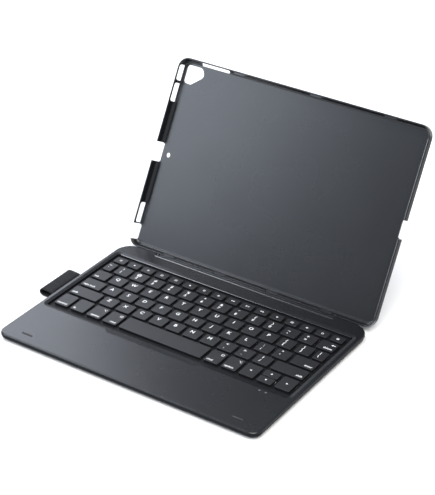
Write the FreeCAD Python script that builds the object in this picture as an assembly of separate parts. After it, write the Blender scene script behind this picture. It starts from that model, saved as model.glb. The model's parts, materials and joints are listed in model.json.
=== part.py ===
"""Tablet keyboard case: a slim keyboard base and a clip-in tablet lid on a friction hinge.

Millimetres. +X is the typist's right, +Y the back, +Z up. The origin is the centre of the
base's underside. The lid is built closed, face down on the base, and then swung open.
"""
import FreeCAD, Part
import math
import os

V = FreeCAD.Vector

# Tablet that the lid holds
tablet_length = 250.6
tablet_width = 174.1
tablet_thickness = 7.5
tablet_clearance = 0.6

# Lid tray
lid_wall = 1.4
lid_panel = 1.6
rim_lip = 0.9
tablet_back_gap = 0.2
lid_corner_radius = 10.0
lid_back_radius = 4.5
panel_edge_radius = 3.0
rim_edge_radius = 0.6
lid_open_angle = 118.0
lid_gap = 0.5

# Cut-outs of the lid, measured up the lid from its hinge side
cut_margin = 4.0
slot_spans = [(21.0, 40.0), (136.0, 153.2), (155.8, 170.3)]
notch_spans = [(5.5, 20.0), (79.5, 97.5)]
plug_notch_span = (80.0, 96.5)
volume_slot_left = -108.0
volume_slot_length = 30.0
slot_bridge = 1.3
slot_reach = 0.9
slot_radius = 2.5
notch_radius = 1.8
notch_reach = 2.9
plug_notch_reach = 4.0
volume_slot_reach = 2.4
microphone_inset = 9.4
microphone_height = 87.8
microphone_radius = 2.2
camera_inset = 3.6
camera_top_inset = 4.6
camera_width = 20.2
camera_depth = 17.2
camera_corner_radius = 2.6

# Lips that hold the tablet
top_lip_places = [-64.0, 14.5, 88.0]
lip_length = 11.5
lip_reach = 1.2
tab_spacing = 54.6
tab_count = 4
tab_slit = 0.8
tab_slit_depth = 5.5

# Hinge
hinge_set_back = 3.3
hinge_rear_cover = 3.7
hinge_bar_radius = 2.9
hinge_bar_inset = 34.7
hinge_bar_clearance = 0.5
hinge_end_clearance = 0.4
hinge_pin_radius = 1.25
hinge_pin_grip = 12.0
hinge_running_clearance = 0.03
sleeve_thickness = 0.42
sleeve_slit = 0.6
knuckle_wall = 0.4
knuckle_length = 10.0
knuckle_clearance = 0.1
block_plate_thickness = 1.2
block_plate_depth = 7.8
block_plate_reach = 19.0
flange_height = 2.8
flange_thickness = 2.1
flange_start = 0.4
lid_screw_radius = 0.7
lid_screw_head_radius = 1.3
lid_screw_head_height = 0.6
lid_screw_length = 3.9

# Base shell
base_overhang = 0.5
base_front_radius = 9.0
base_rear_radius = 16.0
base_top_radius = 1.6
base_bottom_radius = 3.9
base_wall = 1.6
floor_thickness = 1.3
floor_edge_radius = 2.2
deck_thickness = 1.4
cut_wall = 1.4
seam_gap = 0.3
seam_gap_depth = 0.5

# Keyboard stack, from the floor up
support_plate_thickness = 0.4
membrane_thickness = 0.25
dome_sheet_thickness = 0.15
press_clearance = 0.2
key_travel = 1.2
key_frame_thickness = 0.6
recess_depth = 2.2
key_sink = 0.2
skirt_entry = 0.3

# Key field
recess_side_margin = 6.5
recess_rear_strip = 20.6
recess_corner_radius = 2.5
recess_bevel_width = 3.0
recess_bevel_drop = 0.6
recess_wall = 1.2
field_side_gap = 3.5
field_front_gap = 6.1
field_rear_gap = 5.1
key_gap = 3.0
half_key_gap = 1.0
row_depth = 13.2
function_row_depth = 8.8
bottom_row_depth = 17.9
key_corner_radius = 1.5
key_top_edge_radius = 0.35
key_top_thickness = 0.9
key_skirt = 1.0
key_clearance = 0.35
key_frame_margin = 2.0
dome_base_radius = 3.0
dome_top_radius = 1.4
dome_clearance = 0.05

# Units of one letter key in a full row, and the leading keys of each row in those units
row_units = 13.8
bottom_row_units = 14.03
lead_units = {"number": 0.69, "upper": 1.03, "home": 1.35, "lower": 1.85}
function_key_count = 16

# Thumb scoop in front of the space bar
scoop_depth = 6.8
scoop_end = 7.0
scoop_margin = 3.0
scoop_radius = 4.0

# Small pieces of the base
bumper_length = 10.5
bumper_width = 1.6
bumper_sink = 0.8
bumper_proud = 0.3
bumper_side_inset = 23.8
bumper_front_inset = 11.2
lens_radius = 0.9
lens_spacing = 6.0
lens_side_inset = 27.3
lens_front_gap = 5.5
foot_radius = 5.0
foot_height = 1.2
foot_sink = 0.5
foot_side_inset = 16.0
foot_front_inset = 15.0
foot_rear_inset = 24.0
screw_radius = 0.8
screw_head_radius = 1.8
screw_head_height = 0.7
screw_engagement = 4.0
boss_radius = 2.1
front_screw_inset = 7.5
front_screw_side_inset = 10.8
front_screw_spacing = 80.0
rear_screw_spacing = 60.0
battery_length = 96.0
battery_rear_gap = 10.8
battery_thickness = 2.6
battery_corner_radius = 1.5
battery_front_inset = 10.0
battery_centre = -12.0
board_thickness = 0.4
board_length = 62.0
board_front_inset = 23.5
board_side_inset = 10.0
board_corner_radius = 1.0
led_height = 0.6
led_gap = 0.05
tail_width = 10.0
tail_side_inset = 6.0
tail_length = 6.0
tail_clearance = 0.3
connector_depth = 3.0
connector_height = 1.2
connector_margin = 2.0
radio_length = 14.0
radio_depth = 10.0
radio_height = 1.6
radio_set_forward = 1.5
radio_corner_radius = 0.5
magnet_length = 10.0
magnet_depth = 3.0
magnet_height = 1.6
magnet_place = 70.0
magnet_front_inset = 4.0

# Charging socket, right side near the back
socket_width = 7.6
socket_height = 2.6
socket_depth = 7.0
socket_wall = 0.3
socket_tongue = 0.5
socket_rear_inset = 14.6
socket_sink = 1.3
socket_recess_margin = 1.9
socket_clearance = 0.2
charge_board_length = 13.0
charge_board_depth = 7.8
charge_board_inset = 5.4

# Power switch, left side near the back
switch_rear_inset = 15.0
switch_travel = 2.0
knob_length = 3.0
knob_height = 1.4
knob_proud = 0.6
knob_clearance = 0.3
knob_flange = 1.0
knob_flange_thickness = 1.2
switch_gap = 0.1
switch_body_depth = 3.2
switch_body_length = 7.4
switch_pocket_inset = 2.6
switch_body_height = 2.8

# Pen loop, left side
loop_length = 40.0
loop_front_inset = 75.5
loop_reach = 14.3
loop_height = 7.2
loop_thickness = 0.9
loop_nose_radius = 3.0
loop_root_radius = 1.3
loop_root_height = 5.8
loop_tongue_thickness = 1.0
loop_tongue_depth = 3.0
loop_side_clearance = 0.3
loop_slot_clearance = 0.1

# Sizes that follow from the ones above
lid_length = tablet_length + 2 * (tablet_clearance + lid_wall)
lid_width = tablet_width + 2 * (tablet_clearance + lid_wall)
tray_depth = rim_lip + tablet_thickness + tablet_back_gap
lid_height = tray_depth + lid_panel
base_length = lid_length + 2 * base_overhang
base_depth = lid_width + hinge_set_back + hinge_rear_cover
base_right = base_length / 2
base_rear = base_depth / 2
base_front = -base_rear
key_height = recess_depth - key_sink + skirt_entry
plate_top = floor_thickness + support_plate_thickness
membrane_top = plate_top + membrane_thickness
sheet_top = membrane_top + dome_sheet_thickness
base_height = sheet_top + press_clearance + key_travel + key_height + key_sink
deck_under = base_height - deck_thickness
frame_top = base_height - recess_depth
frame_under = frame_top - key_frame_thickness
key_top = base_height - key_sink
key_under = key_top - key_height
seam_height = base_height / 2
axis_y = base_rear - hinge_rear_cover
axis_z = base_height / 2
lid_rear = axis_y - hinge_set_back
rim_z = base_height + lid_gap
hinge_bar_length = lid_length - 2 * hinge_bar_inset
bar_end = hinge_bar_length / 2
cut_end = bar_end + hinge_end_clearance
cut_front = axis_y - hinge_bar_radius - hinge_bar_clearance
cut_wall_front = cut_front - cut_wall
recess_right = base_right - recess_side_margin
recess_rear = base_rear - recess_rear_strip
field_right = recess_right - field_side_gap
field_rear = recess_rear - field_rear_gap
field_depth = function_row_depth + 4 * row_depth + bottom_row_depth + 5 * key_gap
field_front = field_rear - field_depth
recess_front = field_front - field_front_gap
module_right = recess_right + key_frame_margin
module_front = recess_front - key_frame_margin
module_rear = recess_rear + key_frame_margin
battery_depth = module_front - battery_rear_gap - base_front - battery_front_inset
board_depth = module_front - tail_clearance - base_front - board_front_inset
tray_half_length = tablet_length / 2 + tablet_clearance
tray_half_width = tablet_width / 2 + tablet_clearance
lid_middle = lid_rear - lid_width / 2


def box(x0, x1, y0, y1, z0, z1):
    """Block between two corners."""
    return Part.makeBox(x1 - x0, y1 - y0, z1 - z0, V(x0, y0, z0))


def cylinder_x(radius, x0, x1, y, z):
    """Cylinder along X."""
    return Part.makeCylinder(radius, x1 - x0, V(x0, y, z), V(1, 0, 0))


def cylinder_z(radius, x, y, z0, z1):
    """Upright cylinder."""
    return Part.makeCylinder(radius, z1 - z0, V(x, y, z0))


def rounded_face(points, radii):
    """Flat face on a polygon whose corners are rounded."""
    edges, starts, ends = [], [], []
    count = len(points)
    for i, corner in enumerate(points):
        to_last = (points[i - 1] - corner).normalize()
        to_next = (points[(i + 1) % count] - corner).normalize()
        half = to_last.getAngle(to_next) / 2
        back = radii[i] / math.tan(half)
        middle = (to_last + to_next).normalize() * (radii[i] / math.sin(half) - radii[i])
        starts.append(corner + to_last * back)
        ends.append(corner + to_next * back)
        edges.append(Part.Arc(starts[i], corner + middle, ends[i]).toShape())
    for i in range(count):
        edges.append(Part.LineSegment(ends[i], starts[(i + 1) % count]).toShape())
    return Part.Face(Part.Wire(Part.__sortEdges__(edges)))


def plate(x0, x1, y0, y1, z0, z1, front_radius, rear_radius=None):
    """Upright prism on a rectangle with rounded corners."""
    rear = front_radius if rear_radius is None else rear_radius
    points = [V(x0, y0, z0), V(x1, y0, z0), V(x1, y1, z0), V(x0, y1, z0)]
    return rounded_face(points, [front_radius, front_radius, rear, rear]).extrude(V(0, 0, z1 - z0))


def edges_at(shape, height):
    """Edges that lie flat at one height."""
    return [e for e in shape.Edges
            if abs(e.BoundBox.ZMin - height) < 1e-4 and abs(e.BoundBox.ZMax - height) < 1e-4]


def mirrored(shape):
    """The same piece on the other side."""
    return shape.mirror(V(0, 0, 0), V(1, 0, 0))


def save(name, shapes):
    """Write one node, as one solid or a group of separate solids."""
    group = shapes if isinstance(shapes, list) else [shapes]
    solids = [solid for shape in group for solid in shape.Solids]
    result = solids[0] if len(solids) == 1 else Part.makeCompound(solids)
    result.exportStep("parts/" + name + ".step")


# Key field

def key_row(front, depth, names, widths, gap=key_gap):
    """Keys of one row from the left: name to (x0, x1, y0, y1)."""
    keys = {}
    left = -field_right
    for name, width in zip(names, widths):
        keys[name] = (left, left + width, front, front + depth)
        left += width + gap
    return keys


def letter_row(front, lead, names):
    """A row with a leading key, letter keys of one unit, and a last key that fills the row."""
    unit = (2 * field_right + key_gap) / row_units
    widths = [lead * unit - key_gap] + [unit - key_gap] * (len(names) - 2)
    widths.append(2 * field_right - sum(widths) - key_gap * len(widths))
    return key_row(front, row_depth, names, widths)


def named(stem, count):
    """Running names of like keys."""
    return [stem + str(i) for i in range(count)]


def key_layout():
    """Every key's rectangle by name."""
    step = row_depth + key_gap
    lower = field_front + bottom_row_depth + key_gap
    unit = (2 * field_right + key_gap) / bottom_row_units
    space = 2 * field_right + key_gap - 9 * unit - key_gap
    bottom_names = ["corner_key", "control_key", "option_key", "command_key", "space_bar",
                    "right_command_key", "right_option_key", "left_arrow", "up_down", "right_arrow"]
    bottom_widths = [unit - key_gap] * 4 + [space] + [unit - key_gap] * 5
    keys = key_row(field_front, bottom_row_depth, bottom_names, bottom_widths)
    x0, x1, y0, y1 = keys.pop("up_down")
    half = (bottom_row_depth - half_key_gap) / 2
    keys["down_arrow"] = (x0, x1, y0, y0 + half)
    keys["up_arrow"] = (x0, x1, y1 - half, y1)
    rows = [("lower", ["left_shift"] + named("lower", 10) + ["right_shift"]),
            ("home", ["caps_key"] + named("home", 11) + ["enter_key"]),
            ("upper", ["tab_key"] + named("upper", 12) + ["backslash_key"]),
            ("number", ["backtick_key"] + named("number", 12) + ["backspace_key"])]
    for i, (row, names) in enumerate(rows):
        keys.update(letter_row(lower + i * step, lead_units[row], names))
    width = (2 * field_right + key_gap) / function_key_count - key_gap
    keys.update(key_row(lower + 4 * step, function_row_depth,
                        named("function", function_key_count), [width] * function_key_count))
    return keys


def key_groups():
    """Like keys of one hand in a row share a node: node to the names of its keys."""
    groups = {}
    for row, left_hand, count in (("function", 8, 16), ("number", 6, 12), ("upper", 5, 12), ("home", 5, 11),
                                  ("lower", 5, 10)):
        names = named(row, count)
        groups[row + "_keys_left"] = names[:left_hand]
        groups[row + "_keys_right"] = names[left_hand:]
    return groups


def keycap(rect):
    """One hollow keycap with a soft top edge."""
    x0, x1, y0, y1 = rect
    body = plate(x0, x1, y0, y1, key_under, key_top, key_corner_radius)
    body = body.makeFillet(key_top_edge_radius, edges_at(body, key_top))
    inner = max(key_corner_radius - key_skirt, 0.2)
    hollow = plate(x0 + key_skirt, x1 - key_skirt, y0 + key_skirt, y1 - key_skirt,
                   key_under - 1, key_top - key_top_thickness, inner)
    return body.cut(hollow)


def make_keys(keys):
    """Single keys as nodes of their own, like keys in groups."""
    grouped = set()
    for node, names in key_groups().items():
        grouped.update(names)
        save(node, [keycap(keys[name]) for name in names])
    for name in keys:
        if name not in grouped:
            save(name, keycap(keys[name]))


def make_key_frame(keys):
    """Thin web round the keys; its openings guide them."""
    web = plate(-module_right, module_right, module_front, module_rear, frame_under, frame_top,
                recess_corner_radius)
    rects = {name: rect for name, rect in keys.items() if name not in ("up_arrow", "down_arrow")}
    rects["up_down"] = keys["down_arrow"][:3] + keys["up_arrow"][3:]
    c = key_clearance
    holes = [plate(x0 - c, x1 + c, y0 - c, y1 + c, frame_under - 1, frame_top + 1, key_corner_radius + c)
             for x0, x1, y0, y1 in rects.values()]
    save("key_frame", web.cut(holes))


def make_key_stack(keys):
    """Dome sheet, contact membrane with its tail, and support plate, in the ring under the web."""
    inset = recess_wall + tail_clearance / 2
    x, y0, y1 = module_right - inset, module_front + inset, module_rear - inset
    radius = recess_corner_radius
    save("support_plate", plate(-x, x, y0, y1, floor_thickness, plate_top, radius))
    membrane = plate(-x, x, y0, y1, plate_top, membrane_top, radius)
    tail_x0, tail_x1 = tail_span()
    tail = box(tail_x0, tail_x1, tail_front(), y0 + radius, plate_top, membrane_top)
    save("membrane", membrane.fuse(tail).removeSplitter())
    sheet = plate(-x, x, y0, y1, membrane_top, sheet_top, radius)
    top = key_top - key_top_thickness - dome_clearance
    domes = []
    for x0, x1, k0, k1 in keys.values():
        centre = V((x0 + x1) / 2, (k0 + k1) / 2, membrane_top)
        domes.append(Part.makeCone(dome_base_radius, dome_top_radius, top - membrane_top, centre))
    save("dome_sheet", sheet.multiFuse(domes).removeSplitter())


def tail_span():
    """Where the membrane's tail runs, over the middle of the control board's left part."""
    left = base_right - board_side_inset - board_length + tail_side_inset
    return left, left + tail_width


def tail_front():
    """Front end of the membrane's tail, against its connector."""
    return module_front - tail_length


# Base shell

def base_body():
    """Outside of the closed base."""
    body = plate(-base_right, base_right, base_front, base_rear, 0, base_height,
                 base_front_radius, base_rear_radius)
    body = body.makeFillet(base_bottom_radius, edges_at(body, 0))
    return body.makeFillet(base_top_radius, edges_at(body, base_height))


def base_cavity():
    """Space inside the base, kept clear of the hinge bar's cut-out."""
    w = base_wall
    space = plate(-base_right + w, base_right - w, base_front + w, base_rear - w,
                  floor_thickness, deck_under, base_front_radius - w, base_rear_radius - w)
    space = space.makeFillet(floor_edge_radius, edges_at(space, floor_thickness))
    guard = cut_end + cut_wall
    return space.cut(box(-guard, guard, cut_wall_front, base_rear, 0, base_height))


def hinge_cuts():
    """What both covers give up to the hinge: the bar's cut-out, pin holes and knuckle pockets."""
    margin = 1.0
    cuts = [box(-cut_end, cut_end, cut_front, base_rear + margin, -margin, base_height + margin)]
    pin_hole = hinge_pin_radius + knuckle_clearance * 2
    pocket = knuckle_radius() + knuckle_clearance
    inner = cut_end + cut_wall
    outer = inner + knuckle_clearance + knuckle_length + knuckle_clearance
    for side in (1, -1):
        spans = [(cut_end - margin, inner, pin_hole), (inner, outer, pocket)]
        for x0, x1, radius in spans:
            low, high = min(side * x0, side * x1), max(side * x0, side * x1)
            cuts.append(cylinder_x(radius, low, high, axis_y, axis_z))
    return cuts


def knuckle_radius():
    """Outside of the hinge block's knuckle."""
    return hinge_pin_radius + hinge_running_clearance + sleeve_thickness + knuckle_wall


def side_cuts():
    """Openings in the side walls: charging socket, switch slot and pen loop slot."""
    y = base_rear - socket_rear_inset
    z = socket_middle()
    half_y, half_z = socket_width / 2 + socket_clearance, socket_height / 2 + socket_clearance
    deep = charge_board_inset + socket_clearance
    mouth = box(base_right - deep, base_right + 1, y - half_y, y + half_y, z - half_z, z + half_z)
    m = socket_recess_margin
    recess = box(base_right - socket_sink, base_right + 1, y - half_y - m, y + half_y + m,
                 z - half_z, z + half_z)
    y = base_rear - switch_rear_inset
    half_y = knob_length / 2 + knob_clearance
    half_z = knob_height / 2 + knob_clearance
    slot = box(-base_right - 1, -base_right + switch_pocket_inset, y - half_y,
               y + half_y + switch_travel, axis_z - half_z, axis_z + half_z)
    middle = y + switch_travel / 2
    half_y = switch_body_length / 2 + switch_gap
    inner = -base_right + switch_pocket_inset
    depth = knob_flange_thickness + switch_body_depth + 3 * switch_gap
    pocket = box(inner, inner + depth, middle - half_y, middle + half_y, floor_thickness, deck_under)
    y0 = base_front + loop_front_inset
    half_z = loop_tongue_thickness / 2 + loop_slot_clearance
    loop = box(-base_right - 1, -base_right + loop_tongue_depth, y0 + 1 - loop_slot_clearance,
               y0 + loop_length - 1 + loop_slot_clearance, axis_z - half_z, axis_z + half_z)
    return [mouth, recess, slot, pocket, loop]


def case_screw_places():
    """Where the covers are screwed together."""
    front = base_front + front_screw_inset
    outer = base_right - front_screw_side_inset
    inner = front_screw_spacing / 2
    rear = (module_rear + cut_wall_front) / 2
    places = [(x, front) for x in (-outer, -inner, inner, outer)]
    return places + [(x, rear) for x in (-rear_screw_spacing, 0, rear_screw_spacing)]


def block_screw_places():
    """Screws of the right hinge block."""
    y = cut_wall_front - knuckle_clearance - block_plate_depth / 2
    inner = cut_end - block_plate_reach + block_plate_depth / 2
    return [(inner, y), (inner + block_plate_reach / 2, y)]


def scoop_cut(keys):
    """Ramp that opens the recess in front of the space bar."""
    space = keys["space_bar"]
    x0, x1 = space[0] - scoop_margin, space[1] + scoop_margin
    front, beyond = recess_front - scoop_depth, recess_front + field_front_gap / 2
    slope = scoop_end * (beyond - front) / scoop_depth
    points = [V(x0, front, 0), V(x1, front, 0), V(x1 + slope, beyond, 0), V(x0 - slope, beyond, 0)]
    prism = rounded_face(points, [scoop_radius, scoop_radius, 0.5, 0.5]).extrude(V(0, 0, base_height * 2))
    drop = recess_bevel_drop / scoop_depth
    side = [V(x0 - slope, front, base_height), V(x0 - slope, beyond, base_height - drop * (beyond - front)),
            V(x0 - slope, beyond, base_height * 2), V(x0 - slope, front, base_height * 2)]
    above = Part.Face(Part.makePolygon(side + side[:1])).extrude(V(x1 - x0 + 2 * slope, 0, 0))
    return prism.common(above)


def recess_bevel():
    """Shallow slope that leads down to the recess on all sides."""
    outlines = []
    for run, rise in ((0, -recess_bevel_drop), (2 * recess_bevel_width, recess_bevel_drop)):
        x, y0, y1, z = recess_right + run, recess_front - run, recess_rear + run, base_height + rise
        corners = [V(-x, y0, z), V(x, y0, z), V(x, y1, z), V(-x, y1, z)]
        outlines.append(rounded_face(corners, [recess_corner_radius + run] * 4).OuterWire)
    return Part.makeLoft(outlines, True, True)


def scoop_bed(keys):
    """Material under the ramp."""
    space = keys["space_bar"]
    reach = scoop_margin + scoop_end + recess_wall
    return box(space[0] - reach, space[1] + reach, recess_front - scoop_depth - recess_wall, recess_front,
               frame_top, deck_under)


def make_deck_cover(keys):
    """Top shell with palm rest, key recess, thumb scoop and screw bosses."""
    above = box(-base_right - 1, base_right + 1, base_front - 1, base_rear + 1, seam_height, base_height + 1)
    shell = base_body().common(above).cut(base_cavity())
    wall = plate(-recess_right - recess_wall, recess_right + recess_wall, recess_front - recess_wall,
                 recess_rear + recess_wall, frame_top, deck_under, recess_corner_radius + recess_wall)
    bosses = [cylinder_z(boss_radius, x, y, floor_thickness, deck_under) for x, y in case_screw_places()]
    plate_top_z = block_plate_top()
    for x, y in block_screw_places():
        bosses += [cylinder_z(boss_radius, side * x, y, plate_top_z, deck_under) for side in (1, -1)]
    opening = plate(-recess_right, recess_right, recess_front, recess_rear, 0, base_height + 1,
                    recess_corner_radius)
    shell = shell.multiFuse([wall, scoop_bed(keys)] + bosses)
    cuts = [opening, recess_bevel(), scoop_cut(keys)] + hinge_cuts() + side_cuts()
    screw_top = screw_head_height + screw_engagement
    cuts += [cylinder_z(screw_radius, x, y, 0, screw_top) for x, y in case_screw_places()]
    for x, y in block_screw_places():
        cuts += [cylinder_z(lid_screw_radius, side * x, y, 0, block_screw_top()) for side in (1, -1)]
    cuts += [bumper(side, base_height + 1) for side in (1, -1)]
    cuts += [cylinder_z(lens_radius, x, y, 0, base_height + 1) for x, y in lens_places()]
    save("deck_cover", shell.cut(cuts).removeSplitter())


def make_bottom_cover():
    """Lower shell with the ring that carries the key frame."""
    below = box(-base_right - 1, base_right + 1, base_front - 1, base_rear + 1, -1, seam_height)
    shell = base_body().common(below).cut(base_cavity())
    ring = plate(-module_right, module_right, module_front, module_rear, floor_thickness, frame_under,
                 recess_corner_radius)
    w = recess_wall
    ring = ring.cut(plate(-module_right + w, module_right - w, module_front + w, module_rear - w,
                          0, base_height, recess_corner_radius))
    tail_x0, tail_x1 = tail_span()
    c = tail_clearance
    gate = box(tail_x0 - c, tail_x1 + c, module_front - 1, module_front + w + 1, floor_thickness,
               membrane_top + c)
    shell = shell.fuse(ring.cut(gate))
    cuts = hinge_cuts() + side_cuts() + [seam_groove()]
    for x, y in case_screw_places():
        cuts.append(cylinder_z(screw_radius, x, y, -1, base_height))
        cuts.append(cylinder_z(screw_head_radius, x, y, -1, screw_head_height))
    cuts += [cylinder_z(foot_radius, x, y, -1, foot_sink) for x, y in foot_places()]
    save("bottom_cover", shell.cut(cuts).removeSplitter())


def seam_groove():
    """Shadow line round the outside where the two covers meet."""
    low = seam_height - seam_gap
    d = seam_gap_depth
    outside = plate(-base_right - 1, base_right + 1, base_front - 1, base_rear + 1, low, seam_height,
                    base_front_radius, base_rear_radius)
    inside = plate(-base_right + d, base_right - d, base_front + d, base_rear - d, low, seam_height,
                   base_front_radius - d, base_rear_radius - d)
    return outside.cut(inside)


def foot_places():
    """Centres of the four feet."""
    x = base_right - foot_side_inset
    return [(side * x, y) for y in (base_front + foot_front_inset, base_rear - foot_rear_inset)
            for side in (-1, 1)]


def make_fasteners_and_feet():
    """Case screws and rubber feet."""
    screws = []
    for x, y in case_screw_places():
        head = cylinder_z(screw_head_radius, x, y, 0, screw_head_height)
        shaft = cylinder_z(screw_radius, x, y, 0, screw_head_height + screw_engagement)
        screws.append(head.fuse(shaft).removeSplitter())
    save("case_screws", screws)
    feet = []
    for x, y in foot_places():
        foot = cylinder_z(foot_radius, x, y, -foot_height, foot_sink)
        feet.append(foot.makeFillet(foot_height / 2, edges_at(foot, -foot_height)))
    save("rubber_feet", feet)


def bumper(side, top):
    """One palm rest bumper, or its pocket."""
    x = side * (base_right - bumper_side_inset)
    y = base_front + bumper_front_inset
    half, radius = bumper_width / 2, bumper_width / 2 - 0.05
    return plate(x - bumper_length / 2, x + bumper_length / 2, y - half, y + half,
                 base_height - bumper_sink, top, radius)


def lens_places():
    """Centres of the two indicator lenses."""
    x = base_right - lens_side_inset
    y = recess_front - lens_front_gap
    return [(x - lens_spacing / 2, y), (x + lens_spacing / 2, y)]


def make_deck_trim():
    """Bumpers that keep the lid off the keys, and indicator lenses."""
    save("palm_bumpers", [bumper(side, base_height + bumper_proud) for side in (-1, 1)])
    low = floor_thickness + board_thickness + led_height + led_gap
    save("indicator_lenses", [cylinder_z(lens_radius, x, y, low, base_height) for x, y in lens_places()])


def make_electronics():
    """Battery, control board with its connector and lights, radio module and wake magnets."""
    y0 = base_front + battery_front_inset
    x0 = battery_centre - battery_length / 2
    save("battery", plate(x0, x0 + battery_length, y0, y0 + battery_depth, floor_thickness,
                          floor_thickness + battery_thickness, battery_corner_radius))
    x1 = base_right - board_side_inset
    y1 = module_front - tail_clearance
    top = floor_thickness + board_thickness
    board = plate(x1 - board_length, x1, y1 - board_depth, y1, floor_thickness, top, board_corner_radius)
    tail_x0, tail_x1 = tail_span()
    m = connector_margin
    connector = box(tail_x0 - m, tail_x1 + m, tail_front() - connector_depth, tail_front(), top,
                    top + connector_height)
    lights = [box(x - lens_radius, x + lens_radius, y - lens_radius, y + lens_radius, top, top + led_height)
              for x, y in lens_places()]
    save("control_board", board.multiFuse([connector] + lights).removeSplitter())
    x = x1 - board_length / 2
    y = y1 - (board_depth + radio_depth) / 2 - radio_set_forward
    save("radio_module", plate(x, x + radio_length, y, y + radio_depth, top, top + radio_height,
                               radio_corner_radius))
    y = base_front + base_wall + magnet_front_inset
    save("wake_magnets", [box(s * magnet_place - magnet_length / 2, s * magnet_place + magnet_length / 2,
                              y, y + magnet_depth, deck_under - magnet_height, deck_under) for s in (-1, 1)])


def socket_middle():
    """Height of the charging socket's middle."""
    return floor_thickness + board_thickness + socket_height / 2


def make_charging_socket():
    """Metal socket shell with its tongue, on a small board of its own."""
    y = base_rear - socket_rear_inset
    x1 = base_right - socket_sink
    x0 = x1 - socket_depth
    z = socket_middle()
    w, h, t = socket_width / 2, socket_height / 2, socket_wall
    shell = box(x0, x1, y - w, y + w, z - h, z + h)
    shell = shell.makeFillet(h / 2, [e for e in shell.Edges if e.BoundBox.XLength > socket_depth * 0.9])
    mouth = box(x0 + t, x1 + 1, y - w + t, y + w - t, z - h + t, z + h - t)
    mouth = mouth.makeFillet(h / 3, [e for e in mouth.Edges if e.BoundBox.XLength > socket_depth * 0.9])
    half = socket_tongue / 2
    tongue = box(x0, x1 - socket_wall * 2, y - w * 0.6, y + w * 0.6, z - half, z + half)
    save("charging_socket", shell.cut(mouth).fuse(tongue).removeSplitter())
    top = floor_thickness + board_thickness
    right = base_right - charge_board_inset
    save("charge_board", plate(right - charge_board_length, right, y - charge_board_depth / 2,
                               y + charge_board_depth / 2, floor_thickness, top, board_corner_radius))


def make_power_switch():
    """Sliding knob in the side slot, and the switch behind it."""
    y = base_rear - switch_rear_inset
    inner = -base_right + switch_pocket_inset + switch_gap
    half = knob_length / 2
    nub = box(-base_right - knob_proud, inner + knob_flange_thickness, y - half, y + half,
              axis_z - knob_height / 2, axis_z + knob_height / 2)
    nub = nub.makeFillet(0.25, [e for e in nub.Edges if e.BoundBox.XMax < -base_right])
    f = knob_flange
    flange = box(inner, inner + knob_flange_thickness, y - half - f, y + half + f,
                 axis_z - knob_height / 2 - f / 2, axis_z + knob_height / 2 + f / 2)
    save("switch_knob", nub.fuse(flange).removeSplitter())
    x = inner + knob_flange_thickness + switch_gap
    y0 = y + switch_travel / 2 - switch_body_length / 2
    save("switch_body", box(x, x + switch_body_depth, y0, y0 + switch_body_length, floor_thickness,
                            floor_thickness + switch_body_height))


def make_pen_loop():
    """Flattened strap tube whose tongue is held in the case seam."""
    y0 = base_front + loop_front_inset
    right = -base_right - loop_side_clearance
    left = -base_right - loop_reach
    half, root = loop_height / 2, loop_root_height / 2

    def tube(inset, margin):
        points = [V(left + inset, y0 - margin, axis_z - half + inset),
                  V(right - inset, y0 - margin, axis_z - root + inset),
                  V(right - inset, y0 - margin, axis_z + root - inset),
                  V(left + inset, y0 - margin, axis_z + half - inset)]
        nose, corner = loop_nose_radius - inset, loop_root_radius - inset
        return rounded_face(points, [nose, corner, corner, nose]).extrude(V(0, loop_length + 2 * margin, 0))

    strap = tube(0, 0).cut(tube(loop_thickness, 1))
    t = loop_tongue_thickness / 2
    tongue = box(right - loop_thickness / 2, -base_right + loop_tongue_depth, y0 + 1, y0 + loop_length - 1,
                 axis_z - t, axis_z + t)
    save("pen_loop", strap.fuse(tongue).removeSplitter())


# Hinge

def block_plate_top():
    """Upper face of the hinge block's plate."""
    return axis_z + block_plate_thickness / 2


def block_screw_top():
    """Upper end of the hinge block's screws."""
    return base_height - deck_thickness / 2


def make_hinge_blocks():
    """Bracket with knuckle, friction sleeve and screws at each end of the bar."""
    x0 = cut_end + cut_wall + knuckle_clearance
    x1 = x0 + knuckle_length
    half = block_plate_thickness / 2
    rear = cut_wall_front - knuckle_clearance
    front = rear - block_plate_depth
    body = cylinder_x(knuckle_radius(), x0, x1, axis_y, axis_z)
    arm = box(x0, x1, front, axis_y, axis_z - half, axis_z + half)
    leaf = box(cut_end - block_plate_reach, x1, front, rear, axis_z - half, axis_z + half)
    body = body.multiFuse([arm, leaf])
    bore = knuckle_radius() - knuckle_wall
    cuts = [cylinder_x(bore, x0 - 1, x1 + 1, axis_y, axis_z)]
    cuts += [cylinder_z(lid_screw_radius, x, y, 0, base_height) for x, y in block_screw_places()]
    block = body.cut(cuts).removeSplitter()
    sleeve = cylinder_x(bore, x0, x1, axis_y, axis_z)
    sleeve = sleeve.cut([cylinder_x(bore - sleeve_thickness, x0 - 1, x1 + 1, axis_y, axis_z),
                         box(x0 - 1, x1 + 1, axis_y - bore - 1, axis_y, axis_z - sleeve_slit / 2,
                             axis_z + sleeve_slit / 2)])
    pin = cylinder_x(hinge_pin_radius, bar_end - hinge_pin_grip, x1, axis_y, axis_z)
    for name, piece in (("hinge_block", block), ("friction_sleeve", sleeve), ("hinge_pin", pin)):
        moved = open_lid(piece) if name == "hinge_pin" else piece
        save(name + "_right", moved)
        save(name + "_left", mirrored(moved))
    screws = []
    for x, y in block_screw_places():
        low = axis_z - half - lid_screw_head_height
        head = cylinder_z(lid_screw_head_radius, x, y, low, axis_z - half)
        screw = head.fuse(cylinder_z(lid_screw_radius, x, y, low, block_screw_top())).removeSplitter()
        screws += [screw, mirrored(screw)]
    save("hinge_screws", screws)


def open_lid(shape):
    """Swing a piece that was built closed to the open rest pose."""
    turned = shape.copy()
    turned.rotate(V(0, axis_y, axis_z), V(1, 0, 0), -lid_open_angle)
    return turned


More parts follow.
